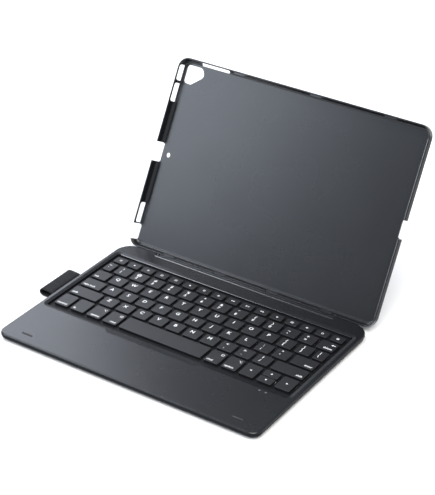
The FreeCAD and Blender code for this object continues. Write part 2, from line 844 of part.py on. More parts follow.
def lid_screw_places():
    """Where the bar's flange is screwed to the lid wall, between the tabs."""
    ends = bar_end - lid_screw_head_radius - 1.4
    return [-ends, -tab_spacing, 0.0, tab_spacing, ends]


def lid_screw_height():
    """Height of those screws with the lid closed."""
    return rim_z + flange_start + flange_height / 2


def make_hinge_bar():
    """Long barrel with the flange that is screwed to the lid's rear wall."""
    barrel = cylinder_x(hinge_bar_radius, -bar_end, bar_end, axis_y, axis_z)
    low, high = rim_z + flange_start, rim_z + flange_start + flange_height
    neck = lid_rear + hinge_bar_clearance + 0.2
    outer = lid_rear + flange_thickness
    side = [V(-bar_end, neck, axis_z), V(-bar_end, neck, low), V(-bar_end, lid_rear, low),
            V(-bar_end, lid_rear, high), V(-bar_end, outer, high),
            V(-bar_end, axis_y + hinge_bar_radius * 0.2, low + flange_height * 0.4),
            V(-bar_end, axis_y + hinge_bar_radius * 0.75, axis_z + hinge_bar_radius * 0.65),
            V(-bar_end, axis_y, axis_z)]
    spine = Part.Face(Part.makePolygon(side + side[:1])).extrude(V(hinge_bar_length, 0, 0))
    bar = barrel.fuse(spine)
    cuts = [cylinder_x(hinge_pin_radius, s - (hinge_pin_grip if s > 0 else 1), s + (1 if s > 0 else
            hinge_pin_grip), axis_y, axis_z) for s in (bar_end, -bar_end)]
    cuts += [lid_screw(x) for x in lid_screw_places()]
    save("hinge_bar", open_lid(bar.cut(cuts).removeSplitter()))


def lid_screw(x):
    """Flat-head screw through the lid wall into the flange."""
    start = lid_rear - lid_wall
    z = lid_screw_height()
    head = Part.makeCone(lid_screw_head_radius, lid_screw_radius, lid_screw_head_height, V(x, start, z),
                         V(0, 1, 0))
    shaft = Part.makeCylinder(lid_screw_radius, lid_screw_length, V(x, start, z), V(0, 1, 0))
    return head.fuse(shaft).removeSplitter()


# Lid

def lid_block(x0, x1, up0, up1, depth0, depth1, radius):
    """Upright prism in the closed lid; up is measured from its hinge side, depth from its rim."""
    return plate(x0, x1, lid_rear - up1, lid_rear - up0, rim_z + depth0, rim_z + depth1, radius)


def wall_slot(up0, up1):
    """Slot in the left wall that leaves a bridge at the rim and is open through the back edge."""
    x0, x1 = -lid_length / 2 - 1, -lid_length / 2 + lid_wall + slot_reach
    low, high = rim_z + slot_bridge, rim_z + lid_height + slot_radius * 2
    points = [V(x0, lid_rear - up0, low), V(x0, lid_rear - up1, low), V(x0, lid_rear - up1, high),
              V(x0, lid_rear - up0, high)]
    return rounded_face(points, [slot_radius] * 4).extrude(V(x1 - x0, 0, 0))


def camera_window():
    """Rounded window for the tablet's camera, with its slanted lower corner."""
    left = -lid_length / 2 + lid_wall + camera_inset
    front = lid_rear - lid_width + lid_wall + camera_top_inset
    right, rear = left + camera_width, front + camera_depth
    z = rim_z + tray_depth - panel_edge_radius - 1
    points = [V(left, front, z), V(right - camera_width * 0.2, front, z),
              V(right, front + camera_depth * 0.42, z), V(left + camera_width * 0.4, rear, z),
              V(left, rear - camera_depth * 0.04, z)]
    r = camera_corner_radius
    return rounded_face(points, [r, r * 1.6, r * 1.6, r, r]).extrude(V(0, 0, lid_height))


def lid_cuts():
    """All openings through the lid's walls and panel."""
    half = lid_length / 2
    cuts = [wall_slot(up0, up1) for up0, up1 in slot_spans]
    for up0, up1 in notch_spans:
        cuts.append(lid_block(-half - cut_margin, -half + lid_wall + notch_reach, up0, up1, -cut_margin,
                              lid_height + cut_margin, notch_radius))
    up0, up1 = plug_notch_span
    cuts.append(lid_block(half - lid_wall - plug_notch_reach, half + cut_margin, up0, up1, -cut_margin,
                          lid_height + cut_margin, notch_radius))
    top = lid_width - lid_wall - volume_slot_reach
    cuts.append(lid_block(volume_slot_left, volume_slot_left + volume_slot_length, top,
                          lid_width + cut_margin, slot_bridge, lid_height + cut_margin, notch_radius / 2))
    x = -half + lid_wall + microphone_inset
    cuts.append(cylinder_z(microphone_radius, x, lid_rear - microphone_height,
                           rim_z + tray_depth - cut_margin, rim_z + lid_height + cut_margin))
    cuts.append(camera_window())
    return cuts


def tab_places():
    """Middles of the snap tabs along the hinge side."""
    return [(i - (tab_count - 1) / 2) * tab_spacing for i in range(tab_count)]


def make_lid_shell():
    """Tray that clips round the tablet."""
    half = lid_length / 2
    outer = plate(-half, half, lid_rear - lid_width, lid_rear, rim_z, rim_z + lid_height, lid_corner_radius)
    outer = outer.makeFillet(lid_back_radius, edges_at(outer, rim_z + lid_height))
    x, y = tray_half_length, tray_half_width
    tray = plate(-x, x, lid_middle - y, lid_middle + y, rim_z - 1, rim_z + tray_depth,
                 lid_corner_radius - lid_wall)
    tray = tray.makeFillet(panel_edge_radius, edges_at(tray, rim_z + tray_depth))
    shell = outer.cut(tray)
    shell = shell.makeFillet(rim_edge_radius, edges_at(shell, rim_z))
    bite = lid_wall / 2
    front = lid_middle - y
    lips = [box(c - lip_length / 2, c + lip_length / 2, front - bite, front + lip_reach,
                rim_z + rim_edge_radius, rim_z + rim_lip) for c in top_lip_places]
    rear = lid_middle + y
    lips += [box(c - lip_length / 2, c + lip_length / 2, rear - lip_reach, rear + bite,
                 rim_z + rim_edge_radius, rim_z + rim_lip) for c in tab_places()]
    shell = shell.multiFuse(lips)
    slits = [box(c + s * (lip_length / 2 + tab_slit / 2) - tab_slit / 2,
                 c + s * (lip_length / 2 + tab_slit / 2) + tab_slit / 2,
                 rear - 0.01, lid_rear + 1, rim_z - 1, rim_z + tab_slit_depth)
             for c in tab_places() for s in (-1, 1)]
    screws = [lid_screw(x) for x in lid_screw_places()]
    save("lid_shell", open_lid(shell.cut(lid_cuts() + slits + screws).removeSplitter()))
    save("lid_screws", [open_lid(screw) for screw in screws])


def main():
    os.makedirs("parts", exist_ok=True)
    keys = key_layout()
    make_keys(keys)
    make_key_frame(keys)
    make_key_stack(keys)
    make_deck_cover(keys)
    make_bottom_cover()
    make_fasteners_and_feet()
    make_deck_trim()
    make_electronics()
    make_charging_socket()
    make_power_switch()
    make_pen_loop()
    make_hinge_blocks()
    make_hinge_bar()
    make_lid_shell()
    print("base", round(base_length, 2), round(base_depth, 2), round(base_height, 2),
          "lid", round(lid_length, 2), round(lid_width, 2), round(lid_height, 2),
          "axis", round(axis_y, 2), round(axis_z, 2))


main()
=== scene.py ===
import bmesh
import bpy
import json
import math
from bpy.props import FloatProperty, FloatVectorProperty, IntProperty, PointerProperty
from mathutils import Matrix, Vector


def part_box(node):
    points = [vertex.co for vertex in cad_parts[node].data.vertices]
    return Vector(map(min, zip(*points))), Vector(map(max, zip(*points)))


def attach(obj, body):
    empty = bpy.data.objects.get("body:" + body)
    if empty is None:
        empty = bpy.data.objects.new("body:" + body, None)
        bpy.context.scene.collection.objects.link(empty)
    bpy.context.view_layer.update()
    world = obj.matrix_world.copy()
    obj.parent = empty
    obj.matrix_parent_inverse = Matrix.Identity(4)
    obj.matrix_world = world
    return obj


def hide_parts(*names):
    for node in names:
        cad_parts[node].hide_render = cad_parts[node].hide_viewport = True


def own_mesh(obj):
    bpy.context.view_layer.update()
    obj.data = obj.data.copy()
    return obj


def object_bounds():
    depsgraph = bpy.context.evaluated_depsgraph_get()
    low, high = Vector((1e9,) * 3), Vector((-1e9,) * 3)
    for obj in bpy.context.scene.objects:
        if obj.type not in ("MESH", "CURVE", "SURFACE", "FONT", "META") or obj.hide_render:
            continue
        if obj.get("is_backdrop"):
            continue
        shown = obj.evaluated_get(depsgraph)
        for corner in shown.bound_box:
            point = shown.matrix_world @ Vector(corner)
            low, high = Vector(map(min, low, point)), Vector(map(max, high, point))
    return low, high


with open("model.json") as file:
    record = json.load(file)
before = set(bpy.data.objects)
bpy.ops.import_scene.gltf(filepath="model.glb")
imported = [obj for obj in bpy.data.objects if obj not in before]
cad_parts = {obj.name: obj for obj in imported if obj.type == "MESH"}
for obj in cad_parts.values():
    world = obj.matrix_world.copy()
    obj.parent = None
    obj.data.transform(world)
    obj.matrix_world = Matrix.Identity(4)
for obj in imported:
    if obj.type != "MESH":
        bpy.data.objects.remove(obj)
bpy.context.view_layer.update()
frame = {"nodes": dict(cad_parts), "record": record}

bl_info = {
    "name": "Tablet Keyboard Case",
    "version": (1, 0, 0),
    "blender": (4, 5, 0),
    "location": "3D View > Sidebar > Case",
    "description": "Finishes, key legends, pen loop and stage for a tablet keyboard case",
    "category": "Object",
}

MM = 0.001

# Legends by node, from the left; two characters stand one above the other.
ROWS = {
    "number_keys_left": ["!1", "@2", "#3", "$4", "%5", "^6"],
    "number_keys_right": ["&7", "*8", "(9", ")0", "_-", "+="],
    "upper_keys_left": list("QWERT"),
    "upper_keys_right": list("YUIOP") + ["{[", "}]"],
    "home_keys_left": list("ASDFG"),
    "home_keys_right": list("HJKL") + [":;", "\"'"],
    "lower_keys_left": list("ZXCVB"),
    "lower_keys_right": list("NM") + ["<,", ">.", "?/"],
}
STACKS = {"backtick_key": "~`", "backslash_key": "|\\"}
# Word, the side it stands at, and the sign above it.
WORDS = {
    "tab_key": ("tab", "LEFT", None), "caps_key": ("caps lock", "LEFT", None),
    "left_shift": ("shift", "LEFT", None), "corner_key": ("control", "LEFT", None),
    "control_key": ("fn", "LEFT", None),
    "option_key": ("option", "RIGHT", "step"), "command_key": ("cmd", "RIGHT", "square"),
    "right_command_key": ("cmd", "LEFT", "square"), "right_option_key": ("option", "LEFT", "step"),
    "enter_key": ("enter", "RIGHT", None), "right_shift": ("shift", "RIGHT", None),
    "backspace_key": ("delete", "RIGHT", "wedge"),
}
# Direction in degrees.
ARROWS = {"left_arrow": 180, "up_arrow": 90, "down_arrow": 270, "right_arrow": 0}
ICONS = {
    "function_keys_left": ["ring", "dot", "sun", "square", "bars", "dot", "ring", "sun"],
    "function_keys_right": ["back", "play", "next", "dot", "bars", "sound", "ring", "lock"],
}


# Finishes

SATIN_GRAIN = 0.06


def finish_tree(name):
    """A new material, with its node tree, its shader and its object coordinates."""
    old = bpy.data.materials.get(name)
    if old:
        bpy.data.materials.remove(old)
    material = bpy.data.materials.new(name)
    material.use_nodes = True
    tree = material.node_tree
    shader = tree.nodes["Principled BSDF"]
    coords = tree.nodes.new("ShaderNodeTexCoord")
    return material, tree, shader, coords.outputs["Object"]


def stretched(tree, coords, scale, turn=(0, 0, 0)):
    """Coordinates stretched and turned for streaks."""
    node = tree.nodes.new("ShaderNodeMapping")
    node.inputs["Scale"].default_value = scale
    node.inputs["Rotation"].default_value = turn
    tree.links.new(coords, node.inputs["Vector"])
    return node.outputs["Vector"]


def remapped(tree, value, given, wanted):
    """A value carried from one range to another."""
    node = tree.nodes.new("ShaderNodeMapRange")
    for label, number in zip(("From Min", "From Max", "To Min", "To Max"), (*given, *wanted)):
        node.inputs[label].default_value = number
    tree.links.new(value, node.inputs["Value"])
    return node.outputs["Result"]


def coordinate(tree, coords, axis):
    """One of three coordinates."""
    split = tree.nodes.new("ShaderNodeSeparateXYZ")
    tree.links.new(coords, split.inputs["Vector"])
    return split.outputs[axis]


def mottle(tree, coords, scale, low=0.0, high=1.0, detail=3.0, spread=(0.3, 0.7)):
    """Soft noise mapped between two values."""
    noise = tree.nodes.new("ShaderNodeTexNoise")
    noise.inputs["Scale"].default_value = scale
    noise.inputs["Detail"].default_value = detail
    tree.links.new(coords, noise.inputs["Vector"])
    return remapped(tree, noise.outputs["Fac"], spread, (low, high))


def combined(tree, first, second, how="ADD"):
    """Two values, sockets or numbers, put through one math node."""
    node = tree.nodes.new("ShaderNodeMath")
    node.operation = how
    for socket, value in zip(node.inputs, (first, second)):
        if isinstance(value, (int, float)):
            socket.default_value = value
        else:
            tree.links.new(value, socket)
    return node.outputs["Value"]


def tinted(tree, amount, dark, light):
    """Colour between two tones."""
    ramp = tree.nodes.new("ShaderNodeValToRGB")
    ramp.color_ramp.elements[0].color = (*dark, 1)
    ramp.color_ramp.elements[1].color = (*light, 1)
    tree.links.new(amount, ramp.inputs["Fac"])
    return ramp.outputs["Color"]


def scaled(colour, share, lift=0.0):
    """A colour made darker or lighter."""
    return [c * share + lift for c in colour]


def dress(tree, shader, colour, rough):
    """Give the shader its colour and roughness."""
    tree.links.new(colour, shader.inputs["Base Color"])
    tree.links.new(rough, shader.inputs["Roughness"])


def relief(tree, shader, height, strength, depth):
    """Bump from a height value."""
    bump = tree.nodes.new("ShaderNodeBump")
    bump.inputs["Strength"].default_value = strength
    bump.inputs["Distance"].default_value = depth
    tree.links.new(height, bump.inputs["Height"])
    tree.links.new(bump.outputs["Normal"], shader.inputs["Normal"])


def faded_shine(material, axis, edge, full, faded, shine):
    """Less shine near an edge along an axis: full at one distance inside it, faded at another."""
    tree = material.node_tree
    level = tree.nodes["Principled BSDF"].inputs["Specular IOR Level"]
    coords = tree.nodes.new("ShaderNodeTexCoord")
    place = combined(tree, coordinate(tree, coords.outputs["Object"], axis), 0.0, "ABSOLUTE")
    amount = remapped(tree, place, (edge - full, edge - faded), (level.default_value, shine))
    tree.links.new(amount, level)


def moulded_plastic(name, colour, rough, grain, scuffs=0.003, specular=0.5):
    """Satin moulded plastic: fine grain, cloudy sheen and faint long scuffs."""
    material, tree, shader, coords = finish_tree(name)
    shift = 0.012
    tone = mottle(tree, coords, scale=22.0, detail=5.0)
    cloud = mottle(tree, coords, scale=14.0, low=rough - shift, high=rough + shift, detail=4.0)
    streak = stretched(tree, coords, scale=(260.0, 9.0, 120.0), turn=(0.2, 0.1, 0.7))
    scuff = mottle(tree, streak, scale=1.0, high=scuffs, detail=2.0, spread=(0.62, 0.74))
    dress(tree, shader, tinted(tree, tone, scaled(colour, 0.86), scaled(colour, 1.14)),
          combined(tree, cloud, scuff))
    shader.inputs["Specular IOR Level"].default_value = specular
    relief(tree, shader, mottle(tree, coords, scale=5200.0, detail=2.0), grain, depth=0.02 * MM)
    return material


def metal_finish(name, colour, rough, streaks):
    """Rolled or turned metal with fine lengthwise streaks and dull patches."""
    material, tree, shader, coords = finish_tree(name)
    lines = mottle(tree, stretched(tree, coords, streaks), scale=1.0, detail=4.0)
    dress(tree, shader, tinted(tree, lines, scaled(colour, 0.8), colour),
          mottle(tree, coords, scale=120.0, low=rough - 0.06, high=rough + 0.1))
    shader.inputs["Metallic"].default_value = 1.0
    relief(tree, shader, lines, strength=0.15, depth=0.02 * MM)
    return material


def soft_rubber(name, colour, rough):
    """Matte rubber with a powdery bloom."""
    material, tree, shader, coords = finish_tree(name)
    shift = 0.08
    bloom = mottle(tree, coords, scale=300.0, detail=5.0)
    dress(tree, shader, tinted(tree, bloom, colour, scaled(colour, 1.5, lift=0.01)),
          mottle(tree, coords, scale=900.0, low=rough - shift, high=rough + shift))
    relief(tree, shader, mottle(tree, coords, scale=2600.0), strength=0.3, depth=0.04 * MM)
    return material


def bands(tree, coords, scale, axis):
    """Even ribs along one axis."""
    wave = tree.nodes.new("ShaderNodeTexWave")
    wave.wave_type = "BANDS"
    wave.bands_direction = axis
    for label, number in (("Scale", scale), ("Distortion", 0.4), ("Detail", 1.0)):
        wave.inputs[label].default_value = number
    tree.links.new(coords, wave.inputs["Vector"])
    return wave.outputs["Fac"]


def woven_elastic(name, colour):
    """Woven elastic: ribs along the strap crossed by a finer weft, with a dull sheen."""
    material, tree, shader, coords = finish_tree(name)
    weft_share = 0.45
    ribs = bands(tree, coords, scale=340.0, axis="Y")
    weft = bands(tree, coords, scale=520.0, axis="X")
    weave = combined(tree, ribs, combined(tree, weft, weft_share, "MULTIPLY"))
    dress(tree, shader, tinted(tree, weave, scaled(colour, 0.6), scaled(colour, 1.7)),
          mottle(tree, coords, scale=260.0, low=0.5, high=0.68))
    for label, number in (("Specular IOR Level", 0.12), ("Sheen Weight", 0.03), ("Sheen Roughness", 0.4)):
        shader.inputs[label].default_value = number
    relief(tree, shader, weave, strength=0.55, depth=0.12 * MM)
    return material


def printed_board(name, colour):
    """Solder resist over faint copper runs."""
    material, tree, shader, coords = finish_tree(name)
    lengthwise = stretched(tree, coords, scale=(900.0, 60.0, 60.0))
    runs = mottle(tree, lengthwise, scale=1.0, detail=1.0, spread=(0.48, 0.52))
    dress(tree, shader, tinted(tree, runs, colour, scaled(colour, 1.8, lift=0.01)),
          mottle(tree, coords, scale=400.0, low=0.28, high=0.4))
    relief(tree, shader, runs, strength=0.3, depth=0.04 * MM)
    return material


def clear_lens(name, colour):
    """Milky light pipe with a slightly frosted face."""
    material, tree, shader, coords = finish_tree(name)
    frost = mottle(tree, coords, scale=1500.0)
    dress(tree, shader, tinted(tree, frost, scaled(colour, 0.8), colour),
          mottle(tree, coords, scale=2500.0, low=0.18, high=0.34))
    shader.inputs["Coat Weight"].default_value = 0.3
    relief(tree, shader, frost, strength=0.1, depth=0.02 * MM)
    return material


def legend_ink(name, colour):
    """Printed key legend, a little uneven and worn."""
    material, tree, shader, coords = finish_tree(name)
    wear = mottle(tree, coords, scale=1400.0, detail=4.0)
    dress(tree, shader, tinted(tree, wear, scaled(colour, 0.8), colour),
          mottle(tree, coords, scale=700.0, low=0.45, high=0.6))
    return material


class FinishSettings(bpy.types.PropertyGroup):
    case_colour: FloatVectorProperty(name="Case colour", description="Colour of both covers and the lid",
                                     subtype="COLOR", size=3, default=(0.0078, 0.0085, 0.0105))
    key_colour: FloatVectorProperty(name="Key colour", description="Colour of the keycaps",
                                    subtype="COLOR", size=3, default=(0.0095, 0.0098, 0.0115))
    case_roughness: FloatProperty(name="Case roughness", description="Sheen of the case, lower is glossier",
                                  subtype="FACTOR", min=0.0, max=1.0, default=0.27)
    key_roughness: FloatProperty(name="Key roughness", description="Sheen of the keycaps",
                                 subtype="FACTOR", min=0.0, max=1.0, default=0.42)


class CASE_OT_finishes(bpy.types.Operator):
    """Give every carried-over node its finish"""
    bl_idname = "case.finishes"
    bl_label = "Finishes"

    def execute(self, context):
        look = context.scene.case_finishes
        case, key = list(look.case_colour), list(look.key_colour)
        made = self.by_slot(look, case, key)
        for entry in frame["record"]["subparts"]:
            node = frame["nodes"][entry["node"]]
            node.data.materials.clear()
            node.data.materials.append(made[entry["material_slot"]])
        own = self.by_node(look, case)
        for name, material in own.items():
            frame["nodes"][name].data.materials[0] = material
        deck_top, key_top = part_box("deck_cover")[1][2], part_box("space_bar")[1][2]
        lid_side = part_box("lid_shell")[1][0]
        faded_shine(own["deck_cover"], "Z", deck_top, full=0.8 * MM, faded=1.4 * MM, shine=0.05)
        faded_shine(made["key_plastic"], "Z", key_top, full=0.3 * MM, faded=0.7 * MM, shine=0.12)
        faded_shine(own["lid_shell"], "X", lid_side, full=0.5 * MM, faded=0.15 * MM, shine=0.08)
        return {"FINISHED"}

    def by_slot(self, look, case, key):
        """Finishes by the record's material slots."""
        return {
            "case_plastic": moulded_plastic("case_plastic_finish", case, look.case_roughness, SATIN_GRAIN),
            "key_plastic": moulded_plastic("key_plastic_finish", key, look.key_roughness, grain=0.12,
                                           scuffs=0.02),
            # Key frame colour painted at 0.6 of the keys' colour: painted shade in the gaps between the keys.
            "frame_plastic": moulded_plastic("frame_plastic_finish", scaled(key, 0.6), rough=0.5,
                                             grain=SATIN_GRAIN, specular=0.15),
            "switch_plastic": moulded_plastic("switch_plastic_finish", key, rough=0.5, grain=0.2),
            "film": moulded_plastic("film_finish", (0.5, 0.53, 0.5), rough=0.25, grain=0.05),
            "silicone": soft_rubber("silicone_finish", (0.42, 0.44, 0.45), rough=0.5),
            "rubber": soft_rubber("rubber_finish", (0.02, 0.02, 0.021), rough=0.72),
            "plate_metal": metal_finish("plate_metal_finish", (0.55, 0.55, 0.55), rough=0.35,
                                        streaks=(30.0, 1500.0, 300.0)),
            "shield_metal": metal_finish("shield_metal_finish", (0.62, 0.62, 0.6), rough=0.3,
                                         streaks=(200.0, 900.0, 900.0)),
            "steel": metal_finish("steel_finish", (0.3, 0.3, 0.31), rough=0.38, streaks=(400.0,) * 3),
            "hinge_metal": metal_finish("hinge_metal_finish", (0.42, 0.42, 0.43), rough=0.5,
                                        streaks=(300.0,) * 3),
            "magnet": metal_finish("magnet_finish", (0.7, 0.69, 0.66), rough=0.16, streaks=(120.0,) * 3),
            "battery_foil": metal_finish("battery_foil_finish", (0.62, 0.62, 0.63), rough=0.42,
                                         streaks=(60.0, 220.0, 60.0)),
            "board": printed_board("board_finish", (0.01, 0.06, 0.028)),
            "lens": clear_lens("lens_finish", (0.13, 0.135, 0.14)),
            "strap": woven_elastic("strap_finish", (0.011, 0.011, 0.0122)),
        }

    def by_node(self, look, case):
        """Finishes of nodes that differ from the rest of their slot."""
        return {
            # Underside: duller, rougher plastic, with its colour painted darker at 0.8 of the case's as
            # painted shade on the base's lower edge.
            "bottom_cover": moulded_plastic("underside_finish", scaled(case, 0.8), rough=0.5, grain=0.2,
                                            scuffs=0.02, specular=0.14),
            "hinge_bar": moulded_plastic("polished_finish", case, rough=0.2, grain=0.02, scuffs=0.0,
                                         specular=1.0),
            "deck_cover": moulded_plastic("deck_finish", case, look.case_roughness, SATIN_GRAIN),
            "lid_shell": moulded_plastic("lid_finish", case, look.case_roughness, SATIN_GRAIN),
        }


# Meshes

def piece(name, mesh, material, body):
    """A finished mesh as a piece that rides on a body."""
    thing = bpy.data.objects.new(name, mesh)
    bpy.context.scene.collection.objects.link(thing)
    mesh.materials.clear()
    mesh.materials.append(material)
    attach(thing, body)
    return thing


def finished(shape, name):
    """Plain mesh from a shape being built, which is let go."""
    mesh = bpy.data.meshes.new(name)
    shape.to_mesh(mesh)
    shape.free()
    return mesh


def skin(shape, rows):
    """Faces between each ring of corners and the next."""
    for first, second in zip(rows, rows[1:]):
        for i in range(len(first)):
            j = (i + 1) % len(first)
            shape.faces.new((first[i], first[j], second[j], second[i]))


def block(shape, low, high):
    """Box between two corners, added to a shape."""
    for vert in bmesh.ops.create_cube(shape, size=1.0)["verts"]:
        vert.co = [a + (b - a) * (c + 0.5) for a, b, c in zip(low, high, vert.co)]


def circle(radius, count, phase=0.0, centre=(0, 0)):
    """Points round a circle."""
    turns = [2 * math.pi * (i + phase) / count for i in range(count)]
    return [(centre[0] + radius * math.cos(a), centre[1] + radius * math.sin(a)) for a in turns]


def flat_mesh(points, faces):
    """Mesh of one flat mark."""
    mesh = bpy.data.meshes.new("mark")
    mesh.from_pydata(points, [], faces)
    return mesh


def lettering(words, size, align):
    """Flat mesh of a word, letter or sign, a little bolder than the font."""
    bolder = 0.02
    curve = bpy.data.curves.new("legend", "FONT")
    curve.body = words
    curve.size = size
    curve.align_x = align
    curve.align_y = "CENTER"
    curve.offset = size * bolder
    curve.resolution_u = 2
    holder = bpy.data.objects.new("legend", curve)
    bpy.context.scene.collection.objects.link(holder)
    mesh = bpy.data.meshes.new_from_object(holder)
    bpy.data.objects.remove(holder)
    bpy.data.curves.remove(curve)
    return mesh


def polygon(points):
    """Flat mark with one outline."""
    return flat_mesh([(x, y, 0) for x, y in points], [list(range(len(points)))])


def disc(radius, hole=0.0, count=20, centre=(0, 0)):
    """Flat dot or ring."""
    outer = circle(radius, count, centre=centre)
    if not hole:
        return polygon(outer)
    inner = circle(hole, count, centre=centre)
    faces = [[i, (i + 1) % count, count + (i + 1) % count, count + i] for i in range(count)]
    return flat_mesh([(x, y, 0) for x, y in outer + inner], faces)


def bar(x0, x1, y0, y1):
    """Flat bar."""
    return polygon([(x0, y0), (x1, y0), (x1, y1), (x0, y1)])


def arrow_head(size, degrees, shift=0.0):
    """Flat triangle that points one way."""
    a = math.radians(degrees)
    back, half = size * 0.6, size * 0.85
    return polygon([(shift + x * math.cos(a) - y * math.sin(a), x * math.sin(a) + y * math.cos(a))
                    for x, y in ((size, 0), (-back, half), (-back, -half))])


def unit_sign(kind):
    """Plain sign of a function key, with a half height of one."""
    if kind == "ring":
        return [disc(1.0, 0.62)]
    if kind == "dot":
        return [disc(0.7)]
    if kind == "sun":
        return [disc(0.55)] + [disc(0.18, count=8, centre=place) for place in circle(1.0, 8)]
    if kind == "square":
        return [bar(-1, 1, 0.65, 1), bar(-1, 1, -1, -0.65), bar(-1, -0.65, -0.65, 0.65),
                bar(0.65, 1, -0.65, 0.65)]
    if kind == "step":
        return [bar(-1.2, -0.3, 0.6, 0.95), bar(0.3, 1.2, 0.6, 0.95), bar(0.3, 1.2, -0.95, -0.6),
                polygon([(-0.55, 0.6), (0.3, -0.95), (0.3, -0.45), (-0.2, 0.6)])]
    if kind == "wedge":
        return [arrow_head(1.0, 180, -1.2), bar(-0.7, 1.2, -0.3, 0.3)]
    if kind == "bars":
        return [bar(-1.2, 1.2, y - 0.16, y + 0.16) for y in (-0.8, 0, 0.8)]
    if kind == "back":
        return [arrow_head(0.9, 180, 0.8), arrow_head(0.9, 180, -0.8)]
    if kind == "play":
        return [arrow_head(1.0, 0, -0.8), bar(0.5, 0.8, -0.8, 0.8), bar(1.1, 1.4, -0.8, 0.8)]
    if kind == "next":
        return [arrow_head(0.9, 0, -0.8), arrow_head(0.9, 0, 0.8)]
    if kind == "sound":
        return [polygon([(-1.2, -0.4), (-0.6, -0.4), (0, -1), (0, 1), (-0.6, 0.4), (-1.2, 0.4)]),
                bar(0.4, 0.7, -0.6, 0.6)]
    if kind == "lock":
        return [bar(-1, 1, -1, 0.1), bar(-0.7, -0.4, 0.1, 1), bar(0.4, 0.7, 0.1, 1), bar(-0.7, 0.7, 0.8, 1.1)]
    raise ValueError(kind)


def icon(kind, size):
    """Marks of one sign at its size."""
    marks = unit_sign(kind)
    for mark in marks:
        mark.transform(Matrix.Scale(size, 4))
    return marks


def key_rects(node, count, gap):
    """Rectangles of the keys in a node, from the left."""
    low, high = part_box(node)
    width = (high[0] - low[0] - gap * (count - 1)) / count
    return [(low[0] + i * (width + gap), low[0] + i * (width + gap) + width, low[1], high[1])
            for i in range(count)]


def middle(rect):
    """Centre of a rectangle."""
    x0, x1, y0, y1 = rect
    return (x0 + x1) / 2, (y0 + y1) / 2


# Where legends stand on a key: a letter from its middle, two signs from its middle and at most a share of
# its width, a word from its side and front, a sign above a word from its right side and rear.
LETTER_LEFT, LETTER_RISE = 1.5 * MM, 1.6 * MM
STACK_LEFT, STACK_SHARE, UPPER_RISE, LOWER_DROP = 1.9 * MM, 0.14, 2.7 * MM, 2.3 * MM
WORD_INSET, WORD_RISE = 1.9 * MM, 3.0 * MM
SIGN_INSET, SIGN_DROP, SIGN_SCALE = 3.2 * MM, 4.0 * MM, 1.1
ARROW_SIZE = 1.2 * MM


class LegendSettings(bpy.types.PropertyGroup):
    letter_size: FloatProperty(name="Letter size", description="Type size of letters", unit="LENGTH",
                               default=5.2 * MM)
    sign_size: FloatProperty(name="Sign size", description="Type size of digits and signs", unit="LENGTH",
                             default=4.5 * MM)
    word_size: FloatProperty(name="Word size", description="Type size of words", unit="LENGTH",
                             default=3.3 * MM)
    icon_size: FloatProperty(name="Icon size", description="Half height of a function key's sign",
                             unit="LENGTH", default=1.15 * MM)
    key_gap: FloatProperty(name="Key gap", description="Gap between keys of a row", unit="LENGTH",
                           default=3.0 * MM)
    ink_lift: FloatProperty(name="Ink thickness", description="Height of the print above a key",
                            unit="LENGTH", default=0.02 * MM)
    ink_colour: FloatVectorProperty(name="Ink colour", description="Colour of the legends", subtype="COLOR",
                                    size=3, default=(0.82, 0.83, 0.84))


class CASE_OT_legends(bpy.types.Operator):
    """Print the key legends"""
    bl_idname = "case.legends"
    bl_label = "Key legends"

    def execute(self, context):
        look = context.scene.case_legends
        ink = legend_ink("legend_ink", list(look.ink_colour))
        for node, texts in list(ROWS.items()) + [(n, [t]) for n, t in STACKS.items()]:
            marks = []
            for rect, text in zip(key_rects(node, len(texts), look.key_gap), texts):
                marks += self.sign_marks(text, rect, look)
            self.print_marks(node, marks, ink, look.ink_lift)
        for node, (word, align, sign) in WORDS.items():
            (x0, x1, y0, y1), = key_rects(node, 1, 0)
            x = x0 + WORD_INSET if align == "LEFT" else x1 - WORD_INSET
            marks = [(lettering(word, look.word_size, align), x, y0 + WORD_RISE)]
            if sign:
                marks += [(mark, x1 - SIGN_INSET, y1 - SIGN_DROP)
                          for mark in icon(sign, look.icon_size * SIGN_SCALE)]
            self.print_marks(node, marks, ink, look.ink_lift)
        for node, degrees in ARROWS.items():
            rect, = key_rects(node, 1, 0)
            self.print_marks(node, [(arrow_head(ARROW_SIZE, degrees), *middle(rect))], ink, look.ink_lift)
        for node, kinds in ICONS.items():
            marks = []
            for rect, kind in zip(key_rects(node, len(kinds), look.key_gap), kinds):
                marks += [(mark, *middle(rect)) for mark in icon(kind, look.icon_size)]
            self.print_marks(node, marks, ink, look.ink_lift)
        return {"FINISHED"}

    def sign_marks(self, text, rect, look):
        """A letter up and left of the middle, or two signs one above the other."""
        x, y = middle(rect)
        if len(text) == 1:
            return [(lettering(text, look.letter_size, "CENTER"), x - LETTER_LEFT, y + LETTER_RISE)]
        upper, lower = text
        left = x - min(STACK_LEFT, (rect[1] - rect[0]) * STACK_SHARE)
        return [(lettering(upper, look.sign_size, "CENTER"), left, y + UPPER_RISE),
                (lettering(lower, look.sign_size, "CENTER"), left, y - LOWER_DROP)]

    def print_marks(self, node, marks, ink, lift):
        """Join a node's marks into one mesh just above its key tops."""
        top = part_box(node)[1][2] + lift
        joined = bmesh.new()
        for mesh, x, y in marks:
            mesh.transform(Matrix.Translation((x, y, top)))
            joined.from_mesh(mesh)
            bpy.data.meshes.remove(mesh)
        for face in joined.faces:
            if face.normal.z < 0:
                face.normal_flip()
        piece(node + "_legend", finished(joined, node + "_legend"), ink, node)


# Repeated pieces

SEED = 7


